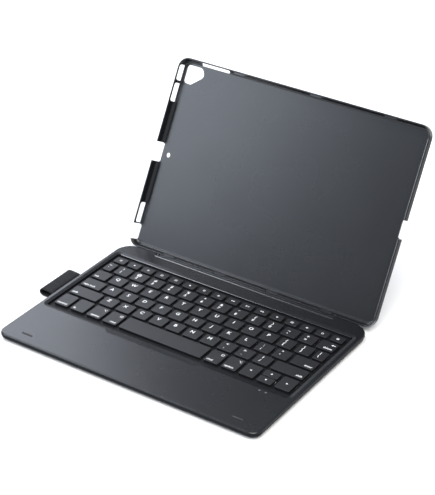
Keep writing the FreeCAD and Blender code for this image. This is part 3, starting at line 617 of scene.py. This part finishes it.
def placing_tree():
    """Geometry Nodes tree that sets a copy of one piece on every point."""
    old = bpy.data.node_groups.get("place_pieces")
    if old:
        return old
    tree = bpy.data.node_groups.new("place_pieces", "GeometryNodeTree")
    for label, kind in (("Points", "Geometry"), ("Piece", "Object"), ("Turn", "Vector"),
                        ("Unevenness", "Float"), ("Finish", "Material")):
        tree.interface.new_socket(label, in_out="INPUT", socket_type="NodeSocket" + kind)
    tree.interface.new_socket("Pieces", in_out="OUTPUT", socket_type="NodeSocketGeometry")
    add, link = tree.nodes.new, tree.links.new
    given, result = add("NodeGroupInput"), add("NodeGroupOutput")
    info = add("GeometryNodeObjectInfo")
    link(given.outputs["Piece"], info.inputs["Object"])
    smaller = add("ShaderNodeMath")
    smaller.operation = "SUBTRACT"
    smaller.inputs[0].default_value = 1.0
    link(given.outputs["Unevenness"], smaller.inputs[1])
    size = add("FunctionNodeRandomValue")
    size.data_type = "FLOAT"
    size.inputs["Seed"].default_value = SEED
    floats = [s for s in size.inputs if s.type == "VALUE" and s.enabled]
    link(smaller.outputs["Value"], floats[0])
    floats[1].default_value = 1.0
    copies = add("GeometryNodeInstanceOnPoints")
    link(given.outputs["Points"], copies.inputs["Points"])
    link(info.outputs["Geometry"], copies.inputs["Instance"])
    link(given.outputs["Turn"], copies.inputs["Rotation"])
    drawn = [s for s in size.outputs if s.type == "VALUE" and s.enabled][0]
    link(drawn, copies.inputs["Scale"])
    real = add("GeometryNodeRealizeInstances")
    link(copies.outputs["Instances"], real.inputs["Geometry"])
    paint = add("GeometryNodeSetMaterial")
    link(real.outputs["Geometry"], paint.inputs["Geometry"])
    link(given.outputs["Finish"], paint.inputs["Material"])
    link(paint.outputs["Geometry"], result.inputs["Pieces"])
    return tree


def placed(name, points, template, material, turn=(0, 0, 0), unevenness=0.0):
    """Plain mesh of one template piece set on each point."""
    seeds = bpy.data.meshes.new(name + "_points")
    seeds.from_pydata(points, [], [])
    holder = bpy.data.objects.new(name + "_points", seeds)
    pattern = bpy.data.objects.new(name + "_pattern", template)
    for thing in (holder, pattern):
        bpy.context.scene.collection.objects.link(thing)
    modifier = holder.modifiers.new("place", "NODES")
    tree = placing_tree()
    modifier.node_group = tree
    values = {"Piece": pattern, "Turn": turn, "Unevenness": unevenness, "Finish": material}
    for item in tree.interface.items_tree:
        if item.in_out == "INPUT" and item.name in values:
            modifier[item.identifier] = values[item.name]
    graph = bpy.context.evaluated_depsgraph_get()
    mesh = bpy.data.meshes.new_from_object(holder.evaluated_get(graph))
    mesh.name = name
    bpy.data.objects.remove(holder)
    bpy.data.objects.remove(pattern)
    return mesh


def screw_pattern(radius, head, length, shaft):
    """Pan-head screw that points up, with a cross recess in its lower face."""
    sides = 32
    rings = [0.14, 0.22, 0.34, 0.48, 0.6, 0.72, 0.94, 1.0]
    cross_half, cross_reach = 0.17, 0.66
    recess, bevel = 0.6 * head, 0.06 * head
    shape = bmesh.new()
    rows = []
    for r in rings:
        edge = bevel if r == 1.0 else 0.0
        rows.append([])
        for x, y in circle(r, sides, phase=0.5):
            sunk = min(abs(x), abs(y)) < cross_half and r < cross_reach
            rows[-1].append(shape.verts.new((x * radius, y * radius, recess if sunk else edge)))
    rim = circle(1.0, sides, phase=0.5)
    for r, z in ((radius, head), (shaft, head), (shaft, head + length)):
        rows.append([shape.verts.new((x * r, y * r, z)) for x, y in rim])
    shape.faces.new(rows[0])
    shape.faces.new(rows[-1])
    skin(shape, rows)
    bmesh.ops.recalc_face_normals(shape, faces=shape.faces)
    return finished(shape, "screw_pattern")


class ScrewSettings(bpy.types.PropertyGroup):
    head_radius: FloatProperty(name="Head radius", description="Radius of a case screw's head", unit="LENGTH",
                               default=1.78 * MM)
    head_height: FloatProperty(name="Head height", description="Height of the head", unit="LENGTH",
                               default=0.68 * MM)
    shaft_radius: FloatProperty(name="Shaft radius", description="Radius of the shaft", unit="LENGTH",
                                default=0.78 * MM)
    shaft_length: FloatProperty(name="Shaft length", description="Length of the shaft", unit="LENGTH",
                                default=3.95 * MM)
    head_margin: FloatProperty(name="Head margin", description="Screw's axis from the edge of the set",
                               unit="LENGTH", default=1.8 * MM)
    flush: FloatProperty(name="Face height", description="Head's face above the underside", unit="LENGTH",
                         default=0.02 * MM)
    front_spacing: FloatProperty(name="Front spacing", description="Between the two inner front screws",
                                 unit="LENGTH", default=80.0 * MM)
    rear_spacing: FloatProperty(name="Rear spacing", description="Between the rear screws", unit="LENGTH",
                                default=60.0 * MM)


class CASE_OT_screws(bpy.types.Operator):
    """Case screws with cross recesses, under the base"""
    bl_idname = "case.screws"
    bl_label = "Case screws"

    def execute(self, context):
        look = context.scene.case_screws
        low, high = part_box("case_screws")
        front, rear, outer = (low[1] + look.head_margin, high[1] - look.head_margin,
                              high[0] - look.head_margin)
        inner = look.front_spacing / 2
        places = [(x, front, look.flush) for x in (-outer, -inner, inner, outer)]
        places += [(x, rear, look.flush) for x in (-look.rear_spacing, 0, look.rear_spacing)]
        steel = bpy.data.materials["steel_finish"]
        pattern = screw_pattern(look.head_radius, look.head_height, look.shaft_length, look.shaft_radius)
        mesh = placed("case_screw_set", places, pattern, steel)
        screws = piece("case_screw_set", mesh, steel, "base")
        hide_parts("case_screws")
        return {"FINISHED"}


# Domes

class DomeSettings(bpy.types.PropertyGroup):
    base_radius: FloatProperty(name="Base radius", description="Radius of a dome at the sheet", unit="LENGTH",
                               default=3.0 * MM)
    top_radius: FloatProperty(name="Top radius", description="Radius of a dome's top", unit="LENGTH",
                              default=1.4 * MM)
    sheet: FloatProperty(name="Sheet thickness", description="Thickness of the rubber sheet", unit="LENGTH",
                         default=0.15 * MM)
    press: FloatProperty(name="Give", description="How far a dome gives way under a pressed key",
                         unit="LENGTH", default=1.25 * MM)


class CASE_OT_domes(bpy.types.Operator):
    """Rubber domes under the keys, on their sheet"""
    bl_idname = "case.domes"
    bl_label = "Domes"

    def execute(self, context):
        look = context.scene.case_domes
        rubber = bpy.data.materials["silicone_finish"]
        low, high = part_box("dome_sheet")
        seat = low[2] + look.sheet
        shape = bmesh.new()
        block(shape, low, (high[0], high[1], seat))
        web = piece("dome_web", finished(shape, "dome_web"), rubber, "base")
        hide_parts("dome_sheet")
        counts = {node: len(texts) for node, texts in list(ROWS.items()) + list(ICONS.items())}
        counts.update({node: 1 for node in [*WORDS, *STACKS, *ARROWS, "space_bar"]})
        height = high[2] - seat
        for node, count in counts.items():
            points = [(*middle(rect), seat)
                      for rect in key_rects(node, count, context.scene.case_legends.key_gap)]
            mesh = placed(node + "_domes", points, self.dome(look, height), rubber)
            domes = piece(node + "_domes", mesh, rubber, "base")
            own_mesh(domes)
        return {"FINISHED"}

    def dome(self, look, height):
        """One dome on its sheet, with a rounded shoulder."""
        sides = 24
        wide, narrow = look.base_radius, look.top_radius
        # Radius, and share of the height.
        profile = [(wide, 0.0), (wide * 0.94, 0.14), (narrow * 1.12, 0.84), (narrow, 0.97),
                   (narrow * 0.86, 1.0)]
        shape = bmesh.new()
        rows = [[shape.verts.new((x, y, height * share)) for x, y in circle(radius, sides)]
                for radius, share in profile]
        skin(shape, rows)
        shape.faces.new(rows[-1])
        shape.faces.new(list(reversed(rows[0])))
        return finished(shape, "dome_pattern")


# Edges

def prism(name, first, second):
    """Closed mesh between two like outlines."""
    shape = bmesh.new()
    near, far = [[shape.verts.new(point) for point in ring] for ring in (first, second)]
    skin(shape, [near, far])
    shape.faces.new(near)
    shape.faces.new(list(reversed(far)))
    bmesh.ops.recalc_face_normals(shape, faces=shape.faces)
    return finished(shape, name)


# Outlines in edge widths: behind and above the recess's edge, and right of and in front of the lid's rim.
RECESS_OUTLINE = [(0.3, 0.08), (-0.6, -0.34), (-0.75, -0.7), (-0.75, -0.9), (0.3, -0.9)]
LID_OUTLINE = [(1.2, 0.03), (0.25, -0.08), (-0.06, -0.5), (-0.06, -1.1), (0.7, -1.1)]
# Straight runs of the lid's right wall, below and above the plug notch, by distance from the hinge.
LID_RUNS = {"lid_edge_lower": (13.3 * MM, 83.3 * MM), "lid_edge_upper": (99.8 * MM, 171.4 * MM)}


class EdgeSettings(bpy.types.PropertyGroup):
    frame_margin: FloatProperty(name="Frame margin", description="Key frame beyond the recess", unit="LENGTH",
                                default=2.0 * MM)
    corner: FloatProperty(name="Corner", description="Corner radius of the recess", unit="LENGTH",
                          default=2.5 * MM)
    edge_drop: FloatProperty(name="Edge drop", description="Recess edge below the deck's top", unit="LENGTH",
                             default=0.6 * MM)
    width: FloatProperty(name="Edge width", description="Width of a softened edge", unit="LENGTH",
                         default=0.6 * MM)
    lean: FloatProperty(name="Lean", description="Lean of the open lid from upright", subtype="ANGLE",
                        default=math.radians(28.0))
    rim_depth: FloatProperty(name="Rim depth", description="Lid rim behind the hinge axis", unit="LENGTH",
                             default=3.5 * MM)
    lid_wall: FloatProperty(name="Lid wall", description="Thickness of the lid's wall", unit="LENGTH",
                            default=1.4 * MM)


class CASE_OT_edges(bpy.types.Operator):
    """Softened edges that catch the light"""
    bl_idname = "case.edges"
    bl_label = "Edges"

    def execute(self, context):
        look = context.scene.case_edges
        polished = bpy.data.materials["polished_finish"]
        self.recess_rim(look, polished)
        for name, run in LID_RUNS.items():
            self.lid_edge(name, run, look, polished)
        return {"FINISHED"}

    def recess_rim(self, look, polished):
        """Edge along the rear of the key recess."""
        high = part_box("key_frame")[1]
        rear, end = high[1] - look.frame_margin, high[0] - look.frame_margin - look.corner
        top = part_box("deck_cover")[1][2] - look.edge_drop
        rings = [[(x, rear + y * look.width, top + z * look.width) for y, z in RECESS_OUTLINE]
                 for x in (-end, end)]
        piece("recess_rim", prism("recess_rim", *rings), polished, "base")

    def lid_edge(self, name, run, look, polished):
        """Inner shoulder along the rim of the lid's right wall."""
        low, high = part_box("friction_sleeve_left")
        axis = (low + high) / 2
        outward = Vector((0, -math.cos(look.lean), math.sin(look.lean)))
        along = Vector((0, math.sin(look.lean), math.cos(look.lean)))
        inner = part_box("lid_shell")[1][0] - look.lid_wall
        rings = []
        for distance in run:
            start = Vector((inner, axis.y, axis.z)) - outward * look.rim_depth + along * distance
            rings.append([start + Vector((x * look.width, 0, 0)) + outward * d * look.width
                          for x, d in LID_OUTLINE])
        piece(name, prism(name, *rings), polished, "lid")


# Pen loop

# Half height at the root, its gain towards the nose, and the belly between.
ROOT_HALF, NOSE_GAIN, BELLY = 2.8, 0.6, 0.15
FLAT_STEPS, NOSE_STEPS, NOSE_BULGE = 7, 10, 1.05
# Sag of the upper run between its ends, and a slow ripple in it.
SAG, RIPPLE, RIPPLE_RADIANS = 0.035, 0.012, 9.0
HEM_SHARE, HEM_SQUEEZE = 0.35, 6 * MM
TONGUE_OVERLAP, TONGUE_INSET, TONGUE_THICKNESS = 0.3 * MM, 1.2 * MM, 0.95 * MM
STITCH_WIDTH, STITCH_HEIGHT, STITCH_LEAN, STITCH_UNEVENNESS = 0.42 * MM, 0.34 * MM, 0.12, 0.12
# Distances of the stitch lines from the root, the strap's ends kept free, and the nose's length.
STITCH_LINES, STITCH_MARGIN, NOSE_LENGTH = (1.6 * MM, 3.0 * MM), 5 * MM, 3.4 * MM


class StrapSettings(bpy.types.PropertyGroup):
    thickness: FloatProperty(name="Strap thickness", description="Thickness of the elastic", unit="LENGTH",
                             default=0.9 * MM)
    root_gap: FloatProperty(name="Root gap", description="Between the loop and the case", unit="LENGTH",
                            default=0.35 * MM)
    middle: FloatProperty(name="Middle", description="Height of the loop's middle", unit="LENGTH",
                          default=3.0 * MM)
    stitch_pitch: FloatProperty(name="Stitch pitch", description="From one stitch to the next", unit="LENGTH",
                                default=2.6 * MM)
    stitch_length: FloatProperty(name="Stitch length", description="Length of one stitch", unit="LENGTH",
                                 default=1.9 * MM)
    runs: IntProperty(name="Lengthwise runs", description="Divisions along the strap's width", default=26,
                      min=4)


class CASE_OT_pen_loop(bpy.types.Operator):
    """Woven pen loop with its hem and stitches"""
    bl_idname = "case.pen_loop"
    bl_label = "Pen loop"

    def execute(self, context):
        look = context.scene.case_strap
        low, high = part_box("pen_loop")
        strap = bpy.data.materials["strap_finish"]
        self.left = low[0]
        self.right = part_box("bottom_cover")[0][0] - look.root_gap
        mesh = self.strap_mesh(low, high, look)
        loop = piece("pen_loop_strap", mesh, strap, "base")
        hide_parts("pen_loop")
        self.stitches(low, high, look)
        return {"FINISHED"}

    def height(self, t):
        """Half height of the strap on its way from the root to the nose."""
        return (ROOT_HALF + NOSE_GAIN * t + BELLY * math.sin(math.pi * t)) * MM

    def section(self, inset):
        """Outline of the flattened loop from its upper root round the nose to its lower root."""
        half_nose = self.height(1.0) - inset
        left, right = self.left + inset, self.right - inset
        nose = left + half_nose * NOSE_BULGE
        upper = [(right + (nose - right) * t, self.height(t) - inset)
                 for t in [i / FLAT_STEPS for i in range(FLAT_STEPS)]]
        turns = [math.pi / 2 + math.pi * i / NOSE_STEPS for i in range(NOSE_STEPS + 1)]
        tip = [(nose + half_nose * NOSE_BULGE * math.cos(a), half_nose * math.sin(a)) for a in turns]
        return upper + tip + [(x, -z) for x, z in reversed(upper)]

    def strap_mesh(self, low, high, look):
        """Tube of elastic with rounded hems, and the tongue that the case seam holds."""
        hem = look.thickness * HEM_SHARE
        steps = [i / look.runs for i in range(look.runs + 1)]
        shape = bmesh.new()
        outer, inner = [], []
        for rings, inset, way in ((outer, 0.0, 1), (inner, look.thickness, -1)):
            outline = self.section(inset)
            for t in steps:
                y = low[1] + (high[1] - low[1]) * t
                pull = 1.0 - SAG * math.sin(math.pi * t) + RIPPLE * math.sin(RIPPLE_RADIANS * t)
                shift = way * hem if t in (0.0, 1.0) else 0.0
                ring = []
                for x, z in outline:
                    reach = (self.right - x) / (self.right - self.left)
                    squeeze = (pull if z > 0 else 1.0) * (1 - shift / HEM_SQUEEZE)
                    ring.append(shape.verts.new((x + shift * reach / 2, y, look.middle + z * squeeze)))
                rings.append(ring)
        for rows in (outer, inner, (outer[0], inner[0]), (outer[-1], inner[-1])):
            skin(shape, rows)
        block(shape, (self.right - TONGUE_OVERLAP, low[1] + TONGUE_INSET, look.middle - TONGUE_THICKNESS / 2),
              (high[0], high[1] - TONGUE_INSET, look.middle + TONGUE_THICKNESS / 2))
        bmesh.ops.recalc_face_normals(shape, faces=shape.faces)
        for face in shape.faces:
            face.smooth = True
        return finished(shape, "pen_loop_strap")

    def stitches(self, low, high, look):
        """Two rows of stitches along the root of the loop, above and below."""
        thread = bpy.data.materials["strap_finish"].copy()
        thread.name = "thread_finish"
        capsule = bmesh.new()
        bmesh.ops.create_uvsphere(capsule, u_segments=8, v_segments=6, radius=0.5)
        for vert in capsule.verts:
            vert.co = (vert.co.x * STITCH_WIDTH, vert.co.y * look.stitch_length, vert.co.z * STITCH_HEIGHT)
        template = finished(capsule, "stitch_pattern")
        count = int((high[1] - low[1] - STITCH_MARGIN) / look.stitch_pitch)
        start = (low[1] + high[1]) / 2 - (count - 1) * look.stitch_pitch / 2
        places = []
        for line in STITCH_LINES:
            height = self.height(line / (self.right - self.left - NOSE_LENGTH))
            places += [(self.right - line, start + i * look.stitch_pitch, look.middle + side * height)
                       for i in range(count) for side in (1, -1)]
        mesh = placed("pen_loop_stitches", places, template, thread, (0, 0, STITCH_LEAN), STITCH_UNEVENNESS)
        piece("pen_loop_stitches", mesh, thread, "base")


# Stage

SUN_PLACE, SUN_STRENGTH, SUN_COLOUR = (0.55, -0.65, 1.5), 3.6, (1.0, 0.985, 0.96)
SUN_SPREAD = math.radians(50.0)
# Place, target, side, power and colour of each soft light.
SOFTBOXES = {
    "back_left_light": ((-1.18, 0.76, 0.80), (-0.05, -0.05, 0.0), 0.85, 8.8, (0.84, 0.89, 1.0)),
    "front_left_light": ((-1.0, -0.93, 0.80), (-0.05, 0.14, 0.09), 0.66, 9.4, (0.80, 0.88, 1.0)),
    "top_left_light": ((-0.92, 0.10, 1.30), (0.0, 0.08, 0.0), 0.5, 6.5, (0.90, 0.94, 1.0)),
}
SKY_COLOUR, SKY_FADE = (0.90, 0.94, 1.0, 1), (0.04, 0.26)
FLOOR_HALF, FLOOR_TONES, FLOOR_ROUGHNESS = 4.0, ((0.86, 0.86, 0.86), (0.88, 0.88, 0.88)), 0.9
CAMERA_TARGET = Vector((0.03121, -0.00255, 0.09765))
SENSOR = 36.0
# Focal length and longer side of the picture, in pixels.
FOCAL_PIXELS, LONGER_SIDE = 1674.0, 495.0


class StageSettings(bpy.types.PropertyGroup):
    light: FloatProperty(name="Light", description="Strength of all the lights", default=1.0, min=0.0)
    sky: FloatProperty(name="Sky", description="Brightness of the surroundings", default=0.37, min=0.0)
    azimuth: FloatProperty(name="Azimuth", description="Camera's turn about the object", subtype="ANGLE",
                           default=math.radians(32.29))
    elevation: FloatProperty(name="Elevation", description="Camera's height angle", subtype="ANGLE",
                             default=math.radians(29.89))
    roll: FloatProperty(name="Roll", description="Camera's roll", subtype="ANGLE", default=math.radians(1.58))
    distance: FloatProperty(name="Distance", description="Camera from its target", unit="LENGTH",
                            default=1.34389)
    lens: FloatProperty(name="Focal length", description="Camera's focal length in millimetres",
                        default=FOCAL_PIXELS / LONGER_SIDE * SENSOR)


class CASE_OT_stage(bpy.types.Operator):
    """Pale floor, soft lights and the camera"""
    bl_idname = "case.stage"
    bl_label = "Stage"

    def execute(self, context):
        look = context.scene.case_stage
        self.floor()
        self.sky(context.scene, look.sky)
        self.daylight("overhead_light", look.light)
        for name, light in SOFTBOXES.items():
            self.softbox(name, *light, look.light)
        self.camera(context.scene, look)
        context.scene.view_settings.view_transform = "Standard"
        return {"FINISHED"}

    def floor(self):
        """Plain pale floor under the feet."""
        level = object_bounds()[0][2]
        mesh = bpy.data.meshes.new("floor")
        r = FLOOR_HALF
        mesh.from_pydata([(-r, -r, level), (r, -r, level), (r, r, level), (-r, r, level)], [], [(0, 1, 2, 3)])
        floor = bpy.data.objects.new("floor", mesh)
        bpy.context.scene.collection.objects.link(floor)
        material, tree, shader, coords = finish_tree("floor_paper")
        paper = tinted(tree, mottle(tree, coords, scale=3.0), *FLOOR_TONES)
        tree.links.new(paper, shader.inputs["Base Color"])
        shader.inputs["Roughness"].default_value = FLOOR_ROUGHNESS
        mesh.materials.append(material)
        floor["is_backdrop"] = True

    def sky(self, scene, strength):
        """Pale surroundings, whitest at the horizon."""
        world = bpy.data.worlds.new("studio")
        world.use_nodes = True
        tree = world.node_tree
        shade = tree.nodes["Background"]
        shade.inputs["Color"].default_value = SKY_COLOUR
        coords = tree.nodes.new("ShaderNodeTexCoord")
        rise = coordinate(tree, coords.outputs["Generated"], "Z")
        tree.links.new(remapped(tree, rise, SKY_FADE, (1.0, strength)), shade.inputs["Strength"])
        scene.world = world

    def daylight(self, name, strength):
        """Broad even light from one side of the sky."""
        lamp = bpy.data.lights.new(name, "SUN")
        lamp.angle = SUN_SPREAD
        lamp.energy = SUN_STRENGTH * strength
        lamp.color = SUN_COLOUR
        self.aim(lamp, SUN_PLACE, (0, 0, 0))

    def softbox(self, name, place, target, side, power, colour, strength):
        """Square soft light that faces a point."""
        lamp = bpy.data.lights.new(name, "AREA")
        lamp.shape = "SQUARE"
        lamp.size = side
        lamp.energy = power * strength
        lamp.color = colour
        self.aim(lamp, place, target)

    def aim(self, lamp, place, target):
        """Set up a light so that it faces a point."""
        light = bpy.data.objects.new(lamp.name, lamp)
        light.location = place
        light.rotation_euler = (Vector(target) - Vector(place)).to_track_quat("-Z", "Y").to_euler()
        bpy.context.scene.collection.objects.link(light)

    def camera(self, scene, look):
        """Camera at the picture's viewing angle."""
        az, el, roll = look.azimuth, look.elevation, look.roll
        back = Vector((math.sin(az) * math.cos(el), -math.cos(az) * math.cos(el), math.sin(el)))
        right = Vector((math.cos(az), math.sin(az), 0))
        up = back.cross(right)
        x = right * math.cos(roll) + up * math.sin(roll)
        y = up * math.cos(roll) - right * math.sin(roll)
        lens = bpy.data.cameras.new("camera")
        lens.lens = look.lens
        lens.sensor_width = SENSOR
        camera = bpy.data.objects.new("camera", lens)
        turn = Matrix((x, y, back)).transposed().to_4x4()
        camera.matrix_world = Matrix.Translation(CAMERA_TARGET + back * look.distance) @ turn
        scene.collection.objects.link(camera)
        scene.camera = camera


class CASE_PT_panel(bpy.types.Panel):
    """Lists the steps that dress the case"""
    bl_idname = "CASE_PT_panel"
    bl_label = "Tablet Keyboard Case"
    bl_space_type = "VIEW_3D"
    bl_region_type = "UI"
    bl_category = "Case"

    def draw(self, context):
        for step in STEPS:
            self.layout.operator(step.bl_idname)
        for name in GROUPS:
            group = getattr(context.scene, name)
            for key in group.__annotations__:
                self.layout.prop(group, key)


GROUPS = {"case_finishes": FinishSettings, "case_legends": LegendSettings, "case_screws": ScrewSettings,
          "case_domes": DomeSettings, "case_edges": EdgeSettings, "case_strap": StrapSettings,
          "case_stage": StageSettings}
STEPS = (CASE_OT_finishes, CASE_OT_legends, CASE_OT_screws, CASE_OT_domes, CASE_OT_edges,
         CASE_OT_pen_loop, CASE_OT_stage)


def register():
    for cls in list(GROUPS.values()) + list(STEPS) + [CASE_PT_panel]:
        bpy.utils.register_class(cls)
    for name, group in GROUPS.items():
        setattr(bpy.types.Scene, name, PointerProperty(type=group))


def unregister():
    for name in GROUPS:
        delattr(bpy.types.Scene, name)
    for cls in [CASE_PT_panel] + list(reversed(STEPS)) + list(GROUPS.values()):
        bpy.utils.unregister_class(cls)


def main():
    register()
    bpy.ops.case.finishes()
    bpy.ops.case.legends()
    bpy.ops.case.screws()
    bpy.ops.case.domes()
    bpy.ops.case.edges()
    bpy.ops.case.pen_loop()
    bpy.ops.case.stage()


if __name__ == "__main__":
    main()
